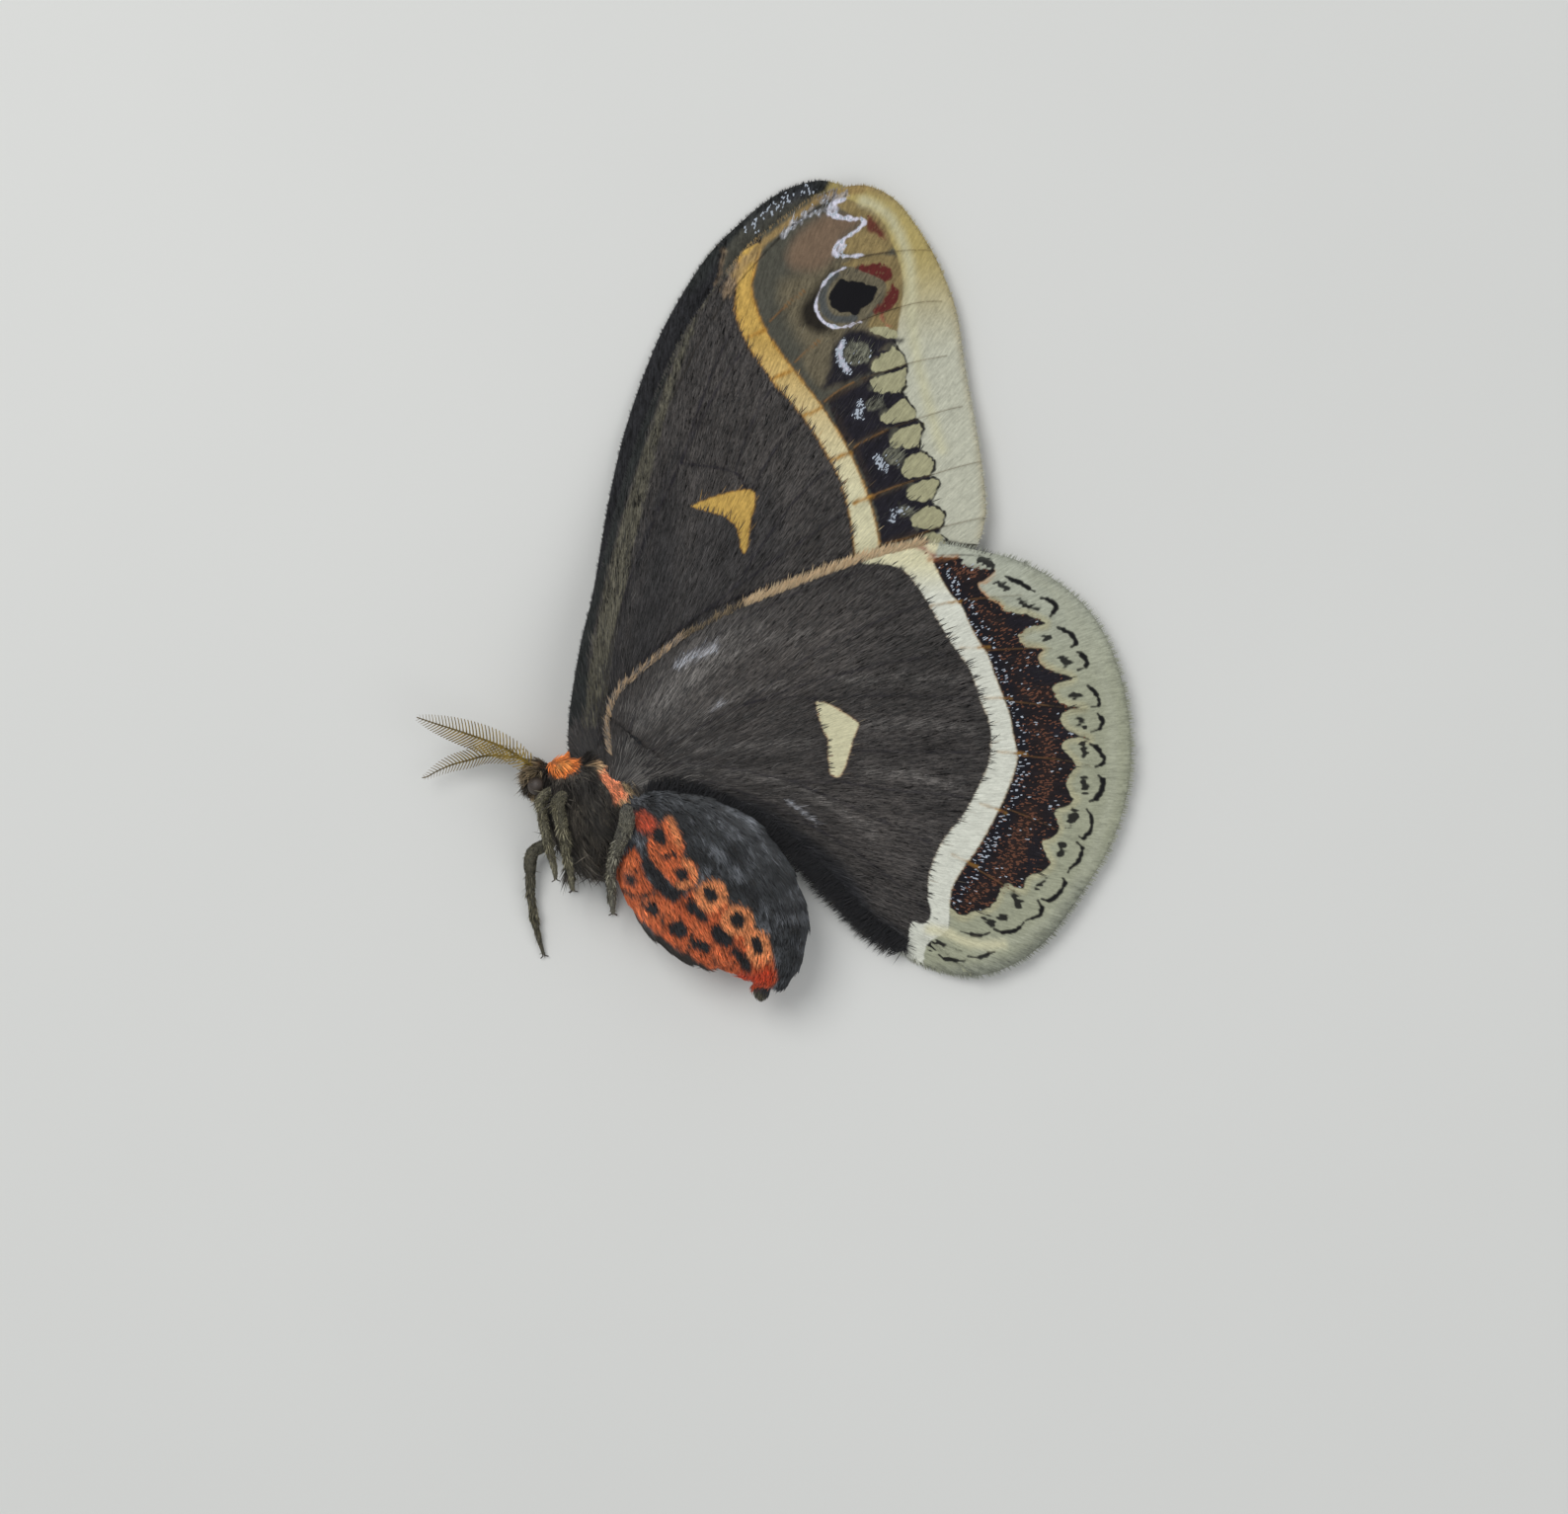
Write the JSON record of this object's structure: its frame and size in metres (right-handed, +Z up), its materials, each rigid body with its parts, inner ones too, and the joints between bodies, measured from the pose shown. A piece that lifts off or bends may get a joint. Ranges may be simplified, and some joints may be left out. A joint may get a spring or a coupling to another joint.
{
  "type": "calleta silkmoth",
  "caption": "Large silkmoth with closed wings, lying on its side as a papered specimen, with a plump ringed abdomen, feathered antennae and folded legs.",
  "frame": {"origin": "on the floor under the middle of the whole moth's box", "axes": "+Z up, out of the moth's left side; +X from the head towards the hindwings' outer edge; +Y towards the forewing tips, along the moth's longest way"},
  "size_m": [0.0653, 0.0753, 0.0102],
  "materials": {
    "wing_scales": "dull overlapping scales, dark with cream bands and pale rims",
    "body_hair": "short dense hair, dark grey-brown with orange patches",
    "abdomen_hair": "short flat hair, grey-black with orange rings",
    "leg_hair": "short olive-grey hair",
    "eye": "dark finely faceted dome, soft gloss",
    "antenna": "yellow-brown horny shaft and branches"
  },
  "bodies": {
    "root": {"thorax": "body_hair", "abdomen": "abdomen_hair", "abdomen_tip": "body_hair", "head": "body_hair", "eye_left": "eye", "eye_right": "eye", "antenna_left": "antenna", "antenna_right": "antenna", "foreleg_left": "leg_hair", "midleg_left": "leg_hair", "hindleg_left": "leg_hair", "foreleg_right": "leg_hair", "midleg_right": "leg_hair", "hindleg_right": "leg_hair", "forewing_left": "wing_scales", "forewing_right": "wing_scales", "hindwing_left": "wing_scales", "hindwing_right": "wing_scales"}
  },
  "joints": []
}
